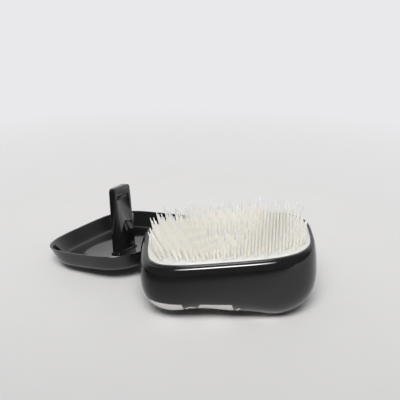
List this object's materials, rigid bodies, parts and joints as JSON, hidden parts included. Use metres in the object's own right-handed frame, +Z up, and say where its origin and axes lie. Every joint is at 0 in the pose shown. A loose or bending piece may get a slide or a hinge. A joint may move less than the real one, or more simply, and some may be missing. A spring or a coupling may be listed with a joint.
{
  "type": "hair grooming brush",
  "caption": "Compact palm brush with a rounded black body, a field of flexible cream teeth, and a domed press-on cover that carries a tongue for the slot in the pad.",
  "frame": {"origin": "on the table, in the middle of the space that the brush and its cover take up together", "axes": "+X along the brush towards its deep heel end, +Y away from the viewer of the picture, +Z up out of the table"},
  "size_m": [0.1422, 0.1372, 0.0479],
  "materials": {
    "body_black": "polished moulded plastic with a printed pattern on the back",
    "cover_black": "polished moulded plastic",
    "pad_cream": "soft satin moulded elastomer",
    "carrier_grey": "as moulded",
    "leaf_white": "as moulded"
  },
  "bodies": {
    "brush": {"back_shell": "body_black", "pad_carrier": "carrier_grey", "tooth_pad": "pad_cream"},
    "catch": {"catch_leaf": "leaf_white"},
    "cover": {"cover_shell": "cover_black", "cover_tongue": "cover_black"}
  },
  "joints": [
    {"name": "catch_flex", "type": "hinge", "parent": "brush", "child": "catch", "pos_m": [0.02695, -0.02996, 0.02924], "axis": [0.9971, 0, 0.0767], "range_deg": [0, 5], "stiffness_Nm_per_rad": 0.3},
    {"name": "cover_slide", "type": "slide", "parent": "brush", "child": "cover", "axis": [-0.7079, 0.7064, 0], "range_m": [0, 0.06]}
  ]
}
